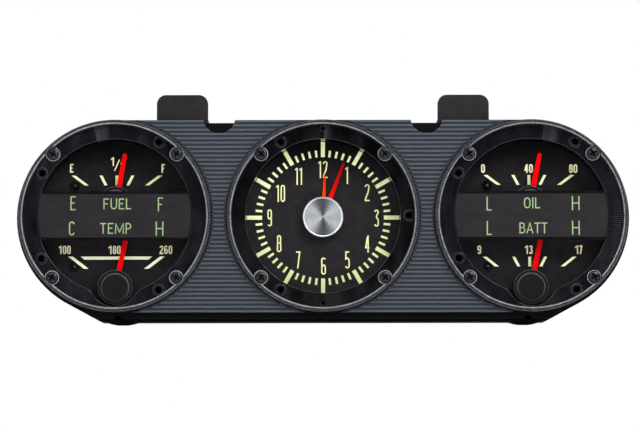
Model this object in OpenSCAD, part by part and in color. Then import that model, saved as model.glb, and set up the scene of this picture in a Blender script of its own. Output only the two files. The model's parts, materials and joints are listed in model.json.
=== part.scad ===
// Center console gauge cluster
// Three round pods in a row: fuel over temperature, a clock, oil pressure over battery.
// Millimetres. X is to the right as seen from the front, Z is up and the front faces -Y.
// Depths are counted backwards from the front edge of the collars.
// The origin is midway along the width and the depth, level with the underside of the feet.

/* [Pods] */
// Distance between the centres of neighbouring pods
pod_pitch = 92; // [90:0.2:96]
// Outside diameter of a collar
collar_d = 85; // [83:0.2:85.4]
// Thickness of a collar's wall
collar_wall = 2; // [1.8:0.1:2.4]
// Width of the polished lip on a collar's front edge
collar_lip = 0.85; // [0.6:0.05:1.1]
// Inside diameter of a mask ring
mask_bore_d = 68.4; // [66:0.2:69]
// Thickness of a mask ring
mask_thick = 1.6; // [1:0.1:2]
// Depth of a mask ring's front face
mask_front = 2.6; // [2.4:0.1:3]

/* [Face panels] */
// Depth of the ribs' front faces
panel_front = 2.5; // [1.5:0.1:3]
// Thickness of a ribbed panel
panel_thick = 3; // [2.6:0.1:4]
// Height of the ribbed panels
panel_h = 85.2; // [80:0.2:86]
// Height of the panels' top edge above the pod axis
panel_top = 42.5; // [41.6:0.1:43.2]
// Number of ribs on a panel
rib_count = 45; // [35:1:50]
// Depth of the grooves between the ribs
rib_depth = 0.45; // [0.2:0.05:0.8]
// Width of the chamfer where a panel meets a pod
panel_chamfer = 1; // [0.4:0.1:1.4]
// Radius of the notches in the panels' top edge
top_notch_r = 7.2; // [4:0.1:8]

/* [Case] */
// Height of the pod axis above the feet
axis_z = 47.4; // [46:0.1:52]
// Height of the case's flat underside above the feet
foot_h = 1; // [0.6:0.1:1.6]
// Radius of a foot's rounded underside
foot_r = 21; // [16:0.5:24]
// Distance of a foot from the middle of the cluster
foot_x = 90; // [84:0.1:92]
// Radius of the case around each outer pod
case_r = 43.5; // [43.3:0.1:44.4]
// How far the case's round ends are centred below the pod axis
case_drop = 0.5; // [0:0.1:0.6]
// Height of the case's top edge above the pod axis
case_top = 41.6; // [40.2:0.1:42.4]
// Height of the front plate's top edge above the pod axis
plate_top = 42.95; // [42.6:0.05:43.2]
// Wall of the case
case_wall = 1.7; // [1.2:0.1:1.8]
// Thickness of the front plate
plate_thick = 3; // [2:0.1:4]
// Height of the front plate's lower edge above the case's underside
plate_raise = 1; // [0:0.1:1.6]
// Radius of the screw notches in the front plate's lower corners
corner_notch_r = 5.7; // [4:0.1:6]
// Depth of the back of the case
case_back = 28; // [27.5:0.5:34]
// Diameter of the round bulge behind each pod
bulge_d = 72; // [60:1:76]
// How far a bulge stands out of the back of the case
bulge_h = 8; // [4:0.5:12]
// How far a rear socket stands out of its bulge
socket_reach = 8; // [4:0.5:10]
// Width of a rear socket
socket_w = 26; // [20:1:34]
// Height of a rear socket
socket_h = 10; // [8:0.5:14]

/* [Mounting tabs] */
// Width of a tab
tab_w = 22.8; // [16:0.2:26]
// Height of a tab's top edge above the pod axis
tab_top = 54.6; // [48:0.2:60]
// Thickness of a tab
tab_thick = 2.2; // [1.6:0.1:3]
// Distance of a tab from the middle of the cluster
tab_x = 62.6; // [58:0.2:64]
// Radius of a tab's upper corners
tab_corner_r = 4.1; // [1:0.1:5]
// Length of the tab's foot along the top of the case
tab_foot = 17; // [14:0.5:19]

/* [Dials] */
// Depth of the dials' faces
dial_front = 13; // [12.4:0.1:14]
// Thickness of a dial
dial_thick = 1; // [0.8:0.1:1.2]
// Height of the upper pointers' pivots above the pod axis
pivot_up = 5.7; // [4.5:0.1:6]
// Gap between a lower hub cap and the wall of its well
hub_gap = 0.6; // [0.3:0.1:1]
// Length of a pointer from its pivot
pointer_len = 23.1; // [18:0.1:25]
// Width of a pointer's blade at its hub
pointer_w = 2.7; // [2:0.1:3.2]
// Width of a pointer's blade at its tip
pointer_tip_w = 1.8; // [1:0.1:2]
// Diameter of a pointer's hub cap
hub_cap_d = 15.8; // [14:0.1:16]
// Diameter of the raised disc on a hub cap
hub_disc_d = 12.2; // [8:0.1:13]
// Clockwise angle at which the fuel pointer rests
fuel_rest = 10; // [-50:0.5:50]
// Clockwise angle at which the temperature pointer rests
temp_rest = 12; // [-50:0.5:50]
// Clockwise angle at which the oil pressure pointer rests
oil_rest = 11.5; // [-50:0.5:50]
// Clockwise angle at which the battery pointer rests
batt_rest = 12; // [-50:0.5:50]

/* [Legend bars] */
// Height of a legend plate
legend_h = 19.2; // [16:0.2:20]
// Height of the legend plate's middle above the pod axis
legend_mid = 0; // [-0.5:0.1:1]
// Height of the clear bar behind a legend plate
guide_h = 21.9; // [20:0.1:22]
// Depth of the legend plates' faces
legend_front = 2.2; // [1.8:0.1:2.4]
// Thickness of a legend plate
legend_thick = 0.4; // [0.3:0.1:0.6]
// Thickness of the clear bar
guide_thick = 2.4; // [1.6:0.1:2.6]

/* [Clock] */
// Diameter of the setting knob
knob_d = 18; // [14:0.2:20]
// Depth of the setting knob's face
knob_front = 8.9; // [7:0.1:9.2]
// Height of the setting knob
knob_h = 1.6; // [1.2:0.1:1.8]
// How far the setting knob pulls out
knob_pull = 2; // [1:0.1:3]
// Length of the minute hand from the centre
minute_len = 26.1; // [22:0.1:28]
// Width of the minute hand at the knob
minute_w = 2.4; // [1.6:0.1:3]
// Length of the hour hand from the centre
hour_len = 19.6; // [15:0.1:21]
// Width of the hour hand at the knob
hour_w = 2.2; // [1.6:0.1:3]
// Clockwise angle at which the minute hand rests
minute_rest = 21; // [0:1:360]
// Clockwise angle at which the hour hand rests
hour_rest = 2.5; // [0:0.5:360]

/* [Hidden] */
$fn = 72;
eps = 0.01;

// Clearances
slip = 0.3;
snug = 0.15;
run = 0.05;

// Pods
pod_x = [-pod_pitch, 0, pod_pitch];
outer_pod_x = [-pod_pitch, pod_pitch];
collar_r = collar_d / 2;
collar_ir = collar_r - collar_wall;
mask_or = collar_ir - snug;
mask_ir = mask_bore_d / 2;
mask_back = mask_front + mask_thick;
plate_front = panel_front + panel_thick;
plate_back = plate_front + plate_thick;
band_drop = 0.3;
groove_w = 0.45;
groove_d = 0.6;
edge = 0.25;

// Mask screws, at 45 degrees in each pod
screw_inset = 1.8;
screw_ring_r = collar_ir - screw_inset;
screw_angles = [45, 135, 225, 315];
screw_r = 1.3;
screw_head_r = 2.75;
screw_head_h = 1.4;
screw_len = 5.3;
washer_r = 3.15;
washer_thick = 0.4;
pocket_r = washer_r + snug;
cross_w = 0.85;
cross_len = 3.5;
cross_deep = 0.9;
boss_r = 3.1;

// Pin holes in the mask rings
pin_inset = 2.6;
pin_ring_r = collar_ir - pin_inset;
outer_pin_shift = 0.6;
clock_pin_shift = 0.2;
pin_r = 1.65;
pin_boss_r = 2.55;
pin_boss_h = 0.3;
pin_boss_inset = 0.1;
outer_pin_angles = [60, 150, 210, 300];
clock_pin_angles = [0, 120, 240];
clock_dot_angles = [90, 270];
dot_r = 1.05;
dot_inset = 1.8;
dot_ring_r = collar_ir - dot_inset;

// Notch in the mask rings round the lower hubs
hub_notch_r = 11;
hub_notch_rim = 0.35;
hub_notch_low = mask_or - hub_notch_rim;
hub_notch_z = hub_notch_r - hub_notch_low;
hub_fillet_r = 7;
fillet_far = mask_ir + hub_fillet_r;
fillet_near = hub_notch_r + hub_fillet_r;
fillet_z = (fillet_near ^ 2 - fillet_far ^ 2 - hub_notch_z ^ 2) / (-2 * hub_notch_z);
fillet_x = sqrt(fillet_far ^ 2 - fillet_z ^ 2);

// Wells of the front plate
well_wall = 1.1;
well_inset = 0.6;
well_r = collar_ir - well_inset;
well_or = well_r + well_wall;
flange_edge = 0.9;
flange_r = screw_ring_r - screw_r - flange_edge;
board_gap = 1.4;
board_front = dial_front + dial_thick + board_gap;
board_thick = 1.6;
board_back = board_front + board_thick;
board_inset = 0.2;
board_r = well_or - board_inset;
ledge_w = 1.4;
ledge_thick = 1;
dial_inset = 0.2;
dial_r = well_r - dial_inset;
skirt_wall = 1;
skirt_end = dial_front - slip;

// Case outline
base_z = foot_h - axis_z;
plate_base_z = base_z + plate_raise;
corner_reach = 8.4;
corner_low = plate_base_z + case_drop;
corner_run = norm([corner_reach, corner_low]);
corner_dir = atan2(corner_low, corner_reach) + acos(case_r / corner_run);
crest_x = pod_pitch - 3;
corner_notch_x = 17.4;
corner_notch_z = 1.3;
foot_flat = 0.1;
bulge_back = case_back + bulge_h;
total_depth = bulge_back + socket_reach;
front_y = -total_depth / 2;

// Fixing of the panels, the case and the tabs
panel_mid = pod_pitch / 2;
panel_tip = 8;
top_notch_rise = 1.4;
top_notch_w = 2 * sqrt(top_notch_r ^ 2 - top_notch_rise ^ 2);
panel_z0 = panel_top - panel_h;
rib_pitch = panel_h / (rib_count - 0.5);
rib_land = rib_pitch / 2;
rib_slope = 0.12;
chamfer_deep = rib_depth + 0.05;
peg_r = 1.25;
peg_z = 20;
pillar_r = 4;
pillar_z = 30;
pillar_bore_r = 1.45;
pillar_bore_len = 10;
case_screw_r = 1.4;
case_screw_len = 8;
tab_screw_x = 6;
tab_screw_back = 10.5;
tab_screw_len = 5.6;
tab_boss_h = 4;
board_screw_len = 4.5;
board_head_r = 2.2;
board_head_h = 1.2;
tab_screw_r = 1.4;
pan_head_r = 2.75;
pan_head_h = 1.7;

// Pointers
cap_gap = 1.4;
cap_front = legend_front + legend_thick + guide_thick + cap_gap;
cap_disc_h = 0.6;
cap_plate_h = 1.1;
cap_skirt_h = 2.2;
cap_wall = 1;
cap_r = hub_cap_d / 2;
pivot_down = well_r - cap_r - hub_gap;
blade_front = cap_front + cap_disc_h + cap_plate_h;
blade_thick = 0.8;
blade_back = blade_front + blade_thick;
hub_r = 3.4;
hub_back = blade_back + 2;
shaft_r = 0.75;
shaft_play = 0.3;
shaft_hole_gap = 1;
motor_h = 9;
motor_back = board_back + motor_h;
motor_w = 24;
motor_low = 6.6;
motor_high = 18.6;
motor_corner = 3;
shaft_end_wall = 1;
// Each pointer: x, z, resting angle
fuel_at = [-pod_pitch, pivot_up, fuel_rest];
temp_at = [-pod_pitch, -pivot_down, temp_rest];
oil_at = [pod_pitch, pivot_up, oil_rest];
batt_at = [pod_pitch, -pivot_down, batt_rest];

// Legend bars
bar_gap = 0.4;
bar_r = mask_ir - bar_gap;
guide_front = legend_front + legend_thick;
guide_back = guide_front + guide_thick;
stem_x = 27;
stem_w = 3;
stem_h = 12;
led_h = 0.7;
led_w = 2.8;
led_ring_r = 25;
led_angles = [60, 120, 240, 300];
stem_back = board_front - led_h;

// Warning lamps
lamp_x = -18.8;
lamp_z = [14.2, -21.9];
lamp_pocket_r = 2.45;
lamp_dome_r = 1.15;
lamp_seat = 0.4;

// Clock
stem_r = 1;
knob_skin = 0.8;
knob_rim = 0.6;
knob_dish = 0.3;
arbor_r = 1.6;
wheel_r = 2.3;
hand_thick = 0.5;
hand_gap = 0.5;
knob_back = knob_front + knob_h;
minute_front = knob_back + slip;
minute_back = minute_front + hand_thick;
hour_front = minute_back + hand_gap;
hour_back = hour_front + hand_thick;
minute_taper = 0.42;
hour_taper = 0.3;
minute_hub_r = 3.6;
hour_hub_r = 3.6;
movement_r = 20;
movement_h = 10;
movement_back = board_back + movement_h;
movement_nose_r = 5;
movement_nose_h = 0.8;
wheel_grip = 3;
wheel_back = board_back + wheel_grip;
arbor_grip = 2.5;
arbor_back = wheel_back + arbor_grip;
stem_grip = 1;
stem_end = arbor_back + knob_pull + stem_grip;
centre_hole_r = 3;

// Scale marks
mark_thick = 0.15;
upper_marks_top = 19;
upper_marks_low = 14.6;
lower_marks_top = -17.6;
lower_marks_low = -21.9;
bar_marks_top = -17.25;
bar_marks_low = -22.7;
mark_w = 1.3;
inner_mark_top = 7.1;
inner_mark_low = 4.9;
end_mark_w = 1.8;
upper_ends = [19.4, 13.5];
lower_ends = [20, 14.6];
bar_ends = [20.5, 13.4];
bar_end_w = 2.1;
bar_h = 1.4;
bar_top_w = 31.8;
bar_low_w = 28.6;
hour_in = 27.2;
hour_mark_gap = 0.2;
hour_out = mask_ir - hour_mark_gap;
hour_mark_w = 1.8;
minute_out = 30.2;
minute_mark_w = 1;

// Rear sockets
socket_wall = 1.2;
socket_lip = 1.6;
socket_floor = 2;
socket_inset = 3;
socket_pin_r = 0.45;
socket_pin_pitch = 2.54;
socket_pins_a_row = 8;

// Placing

// A front-view outline as a plate between two depths
module slab(from, to) {
    translate([0, front_y + to, axis_z])
        rotate([90, 0, 0])
            linear_extrude(to - from)
                children();
}

// A profile of radius and depth, turned about an axis that runs front to back
module turned(x, z) {
    translate([x, front_y, axis_z + z])
        rotate([-90, 0, 0])
            rotate_extrude()
                children();
}

// A round rod or bore between two depths
module rod(x, z, r, from, to) {
    translate([x, front_y + from, axis_z + z])
        rotate([-90, 0, 0])
            cylinder(r = r, h = to - from);
}

// Flat outlines turned clockwise about a point
module clockwise(x, z, angle) {
    translate([x, z])
        rotate(-angle)
            children();
}

// Copies on a ring in each of the given pods
module on_ring(pods, ring_r, angles) {
    for (x = pods)
        for (a = angles)
            translate([x + ring_r * cos(a), ring_r * sin(a)])
                children();
}

module pods_2d(r, pods = pod_x) {
    for (x = pods)
        translate([x, 0])
            circle(r);
}

// Rectangle with rounded corners, from its lower left corner
module round_rect(w, h, r) {
    translate([r, 0])
        square([w - 2 * r, h]);
    translate([0, r])
        square([w, h - 2 * r]);
    for (x = [r, w - r])
        for (z = [r, h - r])
            translate([x, z])
                circle(r);
}

// Case

// Distance from an outer pod's axis to its straight corner at a height
function corner_x(r, z) = (r - (z + case_drop) * sin(corner_dir)) / cos(corner_dir);

// Round ends of the given radius, with straight corners that run down to a lower edge
module outline_ends(r, low_z) {
    translate([0, -case_drop])
        pods_2d(r);
    for (side = [-1, 1])
        polygon([
            [side * pod_pitch, -case_drop],
            [side * (pod_pitch + r * cos(corner_dir)), r * sin(corner_dir) - case_drop],
            [side * (pod_pitch + corner_x(r, low_z)), low_z],
            [side * pod_pitch, low_z]
        ]);
}

module case_2d(inset) {
    intersection() {
        union() {
            outline_ends(case_r - inset, base_z + inset);
            translate([-pod_pitch, base_z + inset])
                square([2 * pod_pitch, case_top - base_z - 2 * inset]);
            for (side = [-1, 1])
                translate([side * foot_x, foot_r - axis_z - foot_flat])
                    circle(foot_r - inset);
        }
        translate([-2 * pod_pitch, inset - axis_z])
            square([4 * pod_pitch, 2 * axis_z]);
    }
}

module plate_2d() {
    difference() {
        union() {
            outline_ends(case_r, plate_base_z);
            difference() {
                translate([-crest_x, plate_base_z])
                    square([2 * crest_x, plate_top - plate_base_z]);
                for (side = [-1, 1])
                    translate([side * panel_mid - top_notch_w / 2, case_top])
                        square([top_notch_w, plate_top]);
            }
        }
        pods_2d(well_r);
        for (side = [-1, 1])
            translate([side * (pod_pitch + corner_notch_x), plate_base_z + corner_notch_z])
                circle(corner_notch_r);
    }
}

module pillar_spots() {
    for (x = [-panel_mid, panel_mid])
        for (z = [-pillar_z, pillar_z])
            translate([x, z])
                children();
}

module bezel_carrier() {
    color("#101012")
        difference() {
            union() {
                slab(plate_front, plate_back)
                    plate_2d();
                slab(plate_back - eps, board_front)
                    difference() {
                        pods_2d(well_or);
                        pods_2d(well_r);
                    }
                slab(plate_front, board_front)
                    intersection() {
                        on_ring(pod_x, screw_ring_r, screw_angles)
                            circle(boss_r);
                        pods_2d(well_or);
                    }
                slab(dial_front - ledge_thick, dial_front)
                    difference() {
                        pods_2d(well_r + eps);
                        pods_2d(well_r - ledge_w);
                    }
                slab(plate_back - eps, case_back - case_wall)
                    pillar_spots()
                        circle(pillar_r);
            }
            slab(plate_front - 1, board_front + 1)
                on_ring(pod_x, screw_ring_r, screw_angles)
                    circle(screw_r + run);
            slab(case_back - case_wall - pillar_bore_len, case_back)
                pillar_spots()
                    circle(pillar_bore_r);
            slab(plate_front - 1, plate_back + 1)
                peg_spots()
                    circle(peg_r + snug);
        }
}

module rear_housing() {
    color("#0d0d0e")
        difference() {
            union() {
                difference() {
                    slab(plate_back, case_back)
                        case_2d(0);
                    slab(plate_back - 1, case_back - case_wall)
                        case_2d(case_wall);
                }
                slab(case_back - eps, bulge_back)
                    pods_2d(bulge_d / 2);
                tab_screw_spots()
                    translate([0, 0, case_top - case_wall - tab_boss_h])
                        cylinder(r = boss_r, h = tab_boss_h + case_wall / 2);
            }
            slab(case_back - case_wall - 1, bulge_back - case_wall)
                pods_2d(bulge_d / 2 - case_wall);
            slab(bulge_back - case_wall - 1, bulge_back + 1)
                socket_spots()
                    square([socket_w + 2 * snug, socket_h + 2 * snug], center = true);
            slab(case_back - case_wall - 1, case_back + 1)
                pillar_spots()
                    circle(case_screw_r + snug);
            tab_screw_spots()
                translate([0, 0, case_top - case_wall - tab_boss_h])
                    cylinder(r = tab_screw_r + run, h = tab_boss_h + case_wall + 1);
        }
}

module pan_head(r, h) {
    rotate_extrude()
        polygon([[0, 0], [r, 0], [r, h * 0.35], [r * 0.86, h * 0.75], [r * 0.55, h], [0, h]]);
}

// A pan-head screw that points backwards, with its head's seat at the given depth
module screw_from_front(seat, len, r, head_r, head_h, turn) {
    translate([0, front_y + seat, 0])
        difference() {
            union() {
                rotate([90, 0, 0])
                    pan_head(head_r, head_h);
                rotate([-90, 0, 0])
                    cylinder(r = r, h = len);
            }
            cross_recess(head_h, turn);
        }
}

module cross_recess(head_h, turn) {
    rotate([0, turn, 0])
        for (a = [0, 90])
            rotate([0, a, 0])
                translate([-cross_len / 2, -head_h - 1, -cross_w / 2])
                    cube([cross_len, 1 + cross_deep, cross_w]);
}

// A pan-head screw that points forwards
module screw_from_back(seat, len, r, head_r, head_h, turn) {
    translate([0, front_y + seat, 0])
        rotate([0, 0, 180])
            translate([0, -front_y, 0])
                screw_from_front(0, len, r, head_r, head_h, turn);
}

module housing_screws() {
    color("#8f9296")
        for (x = [-panel_mid, panel_mid])
            for (z = [-pillar_z, pillar_z])
                translate([x, 0, axis_z + z])
                    screw_from_back(case_back, case_screw_len, case_screw_r, pan_head_r, pan_head_h, z);
}

// Ribbed panels

module peg_spots() {
    for (x = [-panel_mid, panel_mid])
        for (z = [-peg_z, peg_z])
            translate([x, z])
                children();
}

// Side view of a panel: depth and height, with a rib for each step down the front
function rib_points() = [
    for (i = [0 : rib_count - 1])
        let (z = panel_top - i * rib_pitch)
            each [
                [panel_front + rib_depth, z],
                [panel_front + rib_slope, z - rib_slope / 2],
                [panel_front, z - rib_slope * 1.5],
                [panel_front, z - rib_land + rib_slope * 1.5],
                [panel_front + rib_slope, z - rib_land + rib_slope / 2],
                [panel_front + rib_depth, z - rib_land]
            ]
];

module rib_panel(middle) {
    width = pod_pitch - 2 * panel_tip;
    difference() {
        union() {
            translate([middle - width / 2, front_y, axis_z])
                rotate([90, 0, 90])
                    linear_extrude(width)
                        polygon(concat([[plate_front, panel_top]], rib_points(), [[plate_front, panel_z0]]));
            slab(plate_front - eps, plate_back - slip)
                for (z = [-peg_z, peg_z])
                    translate([middle, z])
                        circle(peg_r);
        }
        slab(panel_front - 1, plate_front + 1)
            pods_2d(collar_r + slip);
        slab(panel_front - 1, plate_front + 1)
            translate([middle, panel_top + top_notch_rise])
                circle(top_notch_r);
        for (x = pod_x)
            turned(x, 0)
                polygon([
                    [0, panel_front - eps], [collar_r + slip + panel_chamfer, panel_front - eps],
                    [collar_r + slip, panel_front + chamfer_deep], [0, panel_front + chamfer_deep]
                ]);
    }
}

module rib_panel_left() {
    color("#46505a")
        rib_panel(-panel_mid);
}

module rib_panel_right() {
    color("#46505a")
        rib_panel(panel_mid);
}

// Collars and mask rings

// Filleted notch round the lower hub
module hub_notch_2d() {
    translate([0, hub_notch_z])
        circle(hub_notch_r);
    for (side = [-1, 1])
        difference() {
            polygon([[0, 0], [side * fillet_x, fillet_z], [0, hub_notch_z]]);
            translate([side * fillet_x, fillet_z])
                circle(hub_fillet_r);
        }
}

module pod_collar(x, notched, pin_shift, pin_angles, dot_angles) {
    lip_r = collar_ir + collar_lip;
    band_r = lip_r + groove_w;
    difference() {
        turned(x, 0)
            polygon([
                [collar_ir, edge], [collar_ir + edge, 0], [lip_r - edge, 0], [lip_r, edge],
                [lip_r, groove_d], [band_r, groove_d], [band_r, band_drop], [collar_r - edge, band_drop],
                [collar_r, band_drop + edge], [collar_r, plate_front], [flange_r, plate_front],
                [flange_r, mask_back], [collar_ir, mask_back]
            ]);
        slab(-1, mask_back)
            on_ring([x], screw_ring_r, screw_angles)
                circle(pocket_r);
        slab(mask_back - eps, plate_front + 1) {
            on_ring([x], screw_ring_r, screw_angles)
                circle(screw_r + snug);
            on_ring([x + pin_shift], pin_ring_r, pin_angles)
                circle(pin_r + snug);
            on_ring([x], dot_ring_r, dot_angles)
                circle(dot_r + snug);
            if (notched)
                translate([x, 0])
                    hub_notch_2d();
        }
    }
}

// Wall of the bore from a mask ring down to its dial, open at the notch
module skirt_2d(notched) {
    difference() {
        circle(mask_ir + skirt_wall);
        if (notched)
            polygon([[0, 0], [-fillet_x - skirt_wall, fillet_z], [fillet_x + skirt_wall, fillet_z]]);
    }
}

module mask_ring(x, notched, pin_shift, pin_angles, dot_angles) {
    difference() {
        union() {
            slab(mask_front, mask_back)
                translate([x, 0])
                    circle(mask_or);
            slab(mask_back - eps, skirt_end)
                translate([x, 0])
                    skirt_2d(notched);
            slab(mask_front - pin_boss_h, mask_front + mask_thick / 2)
                intersection() {
                    on_ring([x + pin_shift], pin_ring_r, pin_angles)
                        circle(pin_boss_r);
                    translate([x, 0])
                        circle(mask_or - pin_boss_inset);
                }
        }
        slab(mask_front - 1, skirt_end + 1)
            translate([x, 0]) {
                circle(mask_ir);
                if (notched)
                    hub_notch_2d();
            }
        slab(mask_front - 1, mask_back + 1) {
            on_ring([x], screw_ring_r, screw_angles)
                circle(screw_r + snug);
            on_ring([x + pin_shift], pin_ring_r, pin_angles)
                circle(pin_r);
            on_ring([x], dot_ring_r, dot_angles)
                circle(dot_r);
        }
    }
}

module pod_collar_left() {
    color("#6a6b70")
        pod_collar(pod_x[0], true, outer_pin_shift, outer_pin_angles, []);
}

module pod_collar_clock() {
    color("#6a6b70")
        pod_collar(pod_x[1], false, clock_pin_shift, clock_pin_angles, clock_dot_angles);
}

module pod_collar_right() {
    color("#6a6b70")
        pod_collar(pod_x[2], true, outer_pin_shift, outer_pin_angles, []);
}

module mask_ring_left() {
    color("#141318")
        mask_ring(pod_x[0], true, outer_pin_shift, outer_pin_angles, []);
}

module mask_ring_clock() {
    color("#141318")
        mask_ring(pod_x[1], false, clock_pin_shift, clock_pin_angles, clock_dot_angles);
}

module mask_ring_right() {
    color("#141318")
        mask_ring(pod_x[2], true, outer_pin_shift, outer_pin_angles, []);
}

module mask_screws() {
    color("#5c5d5f")
        for (x = pod_x)
            for (a = screw_angles)
                translate([x + screw_ring_r * cos(a), 0, axis_z + screw_ring_r * sin(a)])
                    screw_from_front(mask_front - washer_thick, washer_thick + mask_thick + screw_len,
                        screw_r, screw_head_r, screw_head_h, a + x / 7);
}

module mask_washers() {
    color("#77777a")
        slab(mask_front - washer_thick, mask_front)
            difference() {
                on_ring(pod_x, screw_ring_r, screw_angles)
                    circle(washer_r);
                on_ring(pod_x, screw_ring_r, screw_angles)
                    circle(screw_r + snug);
            }
}

// Dials

module boss_cuts(x) {
    on_ring([x], screw_ring_r, screw_angles)
        circle(boss_r + slip);
}

// Dial plate with a rim behind it that stands on the circuit board
module dial(x) {
    slab(dial_front, dial_front + dial_thick)
        difference() {
            translate([x, 0])
                circle(dial_r);
            boss_cuts(x);
            translate([x, 0])
                children();
        }
    slab(dial_front + dial_thick - eps, board_front)
        difference() {
            translate([x, 0])
                circle(dial_r);
            translate([x, 0])
                circle(dial_r - ledge_w);
            boss_cuts(x);
        }
}

module outer_dial_holes() {
    for (z = [pivot_up, -pivot_down])
        translate([0, z])
            circle(centre_hole_r);
    for (side = [-1, 1])
        translate([side * stem_x - stem_w / 2 - snug, legend_mid - stem_h / 2 - snug])
            square([stem_w + 2 * snug, stem_h + 2 * snug]);
    for (z = lamp_z)
        translate([lamp_x, z])
            circle(lamp_pocket_r);
}

module dial_left() {
    color("#28252a")
        dial(pod_x[0])
            outer_dial_holes();
}

module dial_clock() {
    color("#28252a")
        dial(pod_x[1])
            circle(centre_hole_r);
}

module dial_right() {
    color("#28252a")
        dial(pod_x[2])
            outer_dial_holes();
}

// Slanted mark with level ends, mirrored on both sides of the pod's middle
module slant_pair(top_z, low_z, top_x, top_w, low_x, low_w) {
    for (side = [-1, 1])
        polygon([
            [side * (top_x - top_w / 2), top_z], [side * (top_x + top_w / 2), top_z],
            [side * (low_x + low_w / 2), low_z], [side * (low_x - low_w / 2), low_z]
        ]);
}

// Five-mark scale: one upright, two inner slants and two ends
module five_marks(top_z, low_z, ends) {
    translate([-mark_w / 2, low_z])
        square([mark_w, top_z - low_z]);
    slant_pair(top_z, low_z, inner_mark_top, mark_w, inner_mark_low, mark_w);
    slant_pair(top_z, low_z, ends[0], end_mark_w, ends[1], end_mark_w);
}

// Three-mark scale: two ends joined by a long bar under the numerals
module bar_marks(top_z, low_z, ends) {
    polygon([
        [-bar_top_w / 2, top_z], [bar_top_w / 2, top_z],
        [bar_low_w / 2, top_z - bar_h], [-bar_low_w / 2, top_z - bar_h]
    ]);
    slant_pair(top_z, low_z, ends[0], bar_end_w, ends[1], bar_end_w);
}

module clock_marks() {
    for (i = [0 : 59])
        rotate(-6 * i)
            if (i % 5 == 0)
                translate([-hour_mark_w / 2, hour_in])
                    square([hour_mark_w, hour_out - hour_in]);
            else
                translate([-minute_mark_w / 2, hour_in])
                    square([minute_mark_w, minute_out - hour_in]);
}

module marks_left() {
    color("#e2eec0")
        slab(dial_front - mark_thick, dial_front)
            translate([pod_x[0], 0]) {
                five_marks(upper_marks_top, upper_marks_low, upper_ends);
                bar_marks(bar_marks_top, bar_marks_low, bar_ends);
            }
}

module marks_clock() {
    color("#e2eec0")
        slab(dial_front - mark_thick, dial_front)
            clock_marks();
}

module marks_right() {
    color("#e2eec0")
        slab(dial_front - mark_thick, dial_front)
            translate([pod_x[2], 0]) {
                five_marks(upper_marks_top, upper_marks_low, upper_ends);
                five_marks(lower_marks_top, lower_marks_low, lower_ends);
            }
}

// Warning lamps with a small dome, standing on the circuit board
module indicator_lenses(x) {
    for (z = lamp_z) {
        rod(x + lamp_x, z, lamp_pocket_r - snug, dial_front + lamp_seat, board_front);
        translate([x + lamp_x, front_y + dial_front + lamp_seat, axis_z + z])
            sphere(lamp_dome_r);
    }
}

module indicator_lenses_left() {
    color("#202022")
        indicator_lenses(pod_x[0]);
}

module indicator_lenses_right() {
    color("#202022")
        indicator_lenses(pod_x[2]);
}

// Legend bars

module bar_2d(x, h, z) {
    translate([x, 0])
        intersection() {
            circle(bar_r);
            translate([-bar_r, z - h / 2])
                square([2 * bar_r, h]);
        }
}

module legend_plate(x) {
    slab(legend_front, guide_front)
        bar_2d(x, legend_h, legend_mid);
}

module light_guide(x) {
    slab(guide_front, guide_back)
        bar_2d(x, guide_h, legend_mid);
    slab(guide_back - eps, stem_back)
        for (side = [-1, 1])
            translate([x + side * stem_x - stem_w / 2, legend_mid - stem_h / 2])
                square([stem_w, stem_h]);
}

module legend_plate_left() {
    color("#312f32")
        legend_plate(pod_x[0]);
}

module legend_plate_right() {
    color("#312f32")
        legend_plate(pod_x[2]);
}

module light_guide_left() {
    color("#b8c0c4")
        light_guide(pod_x[0]);
}

module light_guide_right() {
    color("#b8c0c4")
        light_guide(pod_x[2]);
}

// Pointers

module blade_2d(len, w, tip_w) {
    polygon([[-w / 2, 0], [w / 2, 0], [tip_w / 2, len - tip_w / 2], [-tip_w / 2, len - tip_w / 2]]);
    translate([0, len - tip_w / 2])
        circle(tip_w / 2);
}

module pointer(at) {
    difference() {
        union() {
            slab(blade_front, blade_back)
                clockwise(at[0], at[1], at[2])
                    blade_2d(pointer_len, pointer_w, pointer_tip_w);
            rod(at[0], at[1], hub_r, blade_front, hub_back);
        }
        rod(at[0], at[1], shaft_r, blade_front + shaft_play, hub_back + 1);
    }
}

module hub_cap(at) {
    difference() {
        turned(at[0], at[1])
            polygon([
                [0, cap_front], [hub_disc_d / 2 - edge, cap_front], [hub_disc_d / 2, cap_front + edge],
                [hub_disc_d / 2, cap_front + cap_disc_h], [cap_r - edge, cap_front + cap_disc_h],
                [cap_r, cap_front + cap_disc_h + edge], [cap_r, blade_front + cap_skirt_h],
                [cap_r - cap_wall, blade_front + cap_skirt_h], [cap_r - cap_wall, blade_front],
                [0, blade_front]
            ]);
        slab(blade_front, blade_front + cap_skirt_h + 1)
            clockwise(at[0], at[1], at[2])
                translate([-pointer_w / 2 - snug, 0])
                    square([pointer_w + 2 * snug, cap_r + 1]);
    }
}

module shaft(at) {
    rod(at[0], at[1], shaft_r, blade_front + shaft_play, motor_back - shaft_end_wall - slip);
}

module motor(at) {
    difference() {
        slab(board_back, motor_back)
            translate([at[0] - motor_w / 2, at[1] - motor_low])
                round_rect(motor_w, motor_low + motor_high, motor_corner);
        rod(at[0], at[1], shaft_r + run, board_back - 1, motor_back - shaft_end_wall);
    }
}

module fuel_pointer() {
    color("#d80205")
        pointer(fuel_at);
}

module temp_pointer() {
    color("#d80205")
        pointer(temp_at);
}

module oil_pointer() {
    color("#d80205")
        pointer(oil_at);
}

module batt_pointer() {
    color("#d80205")
        pointer(batt_at);
}

module fuel_hub_cap() {
    color("#1d1c20")
        hub_cap(fuel_at);
}

module temp_hub_cap() {
    color("#1d1c20")
        hub_cap(temp_at);
}

module oil_hub_cap() {
    color("#1d1c20")
        hub_cap(oil_at);
}

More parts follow.
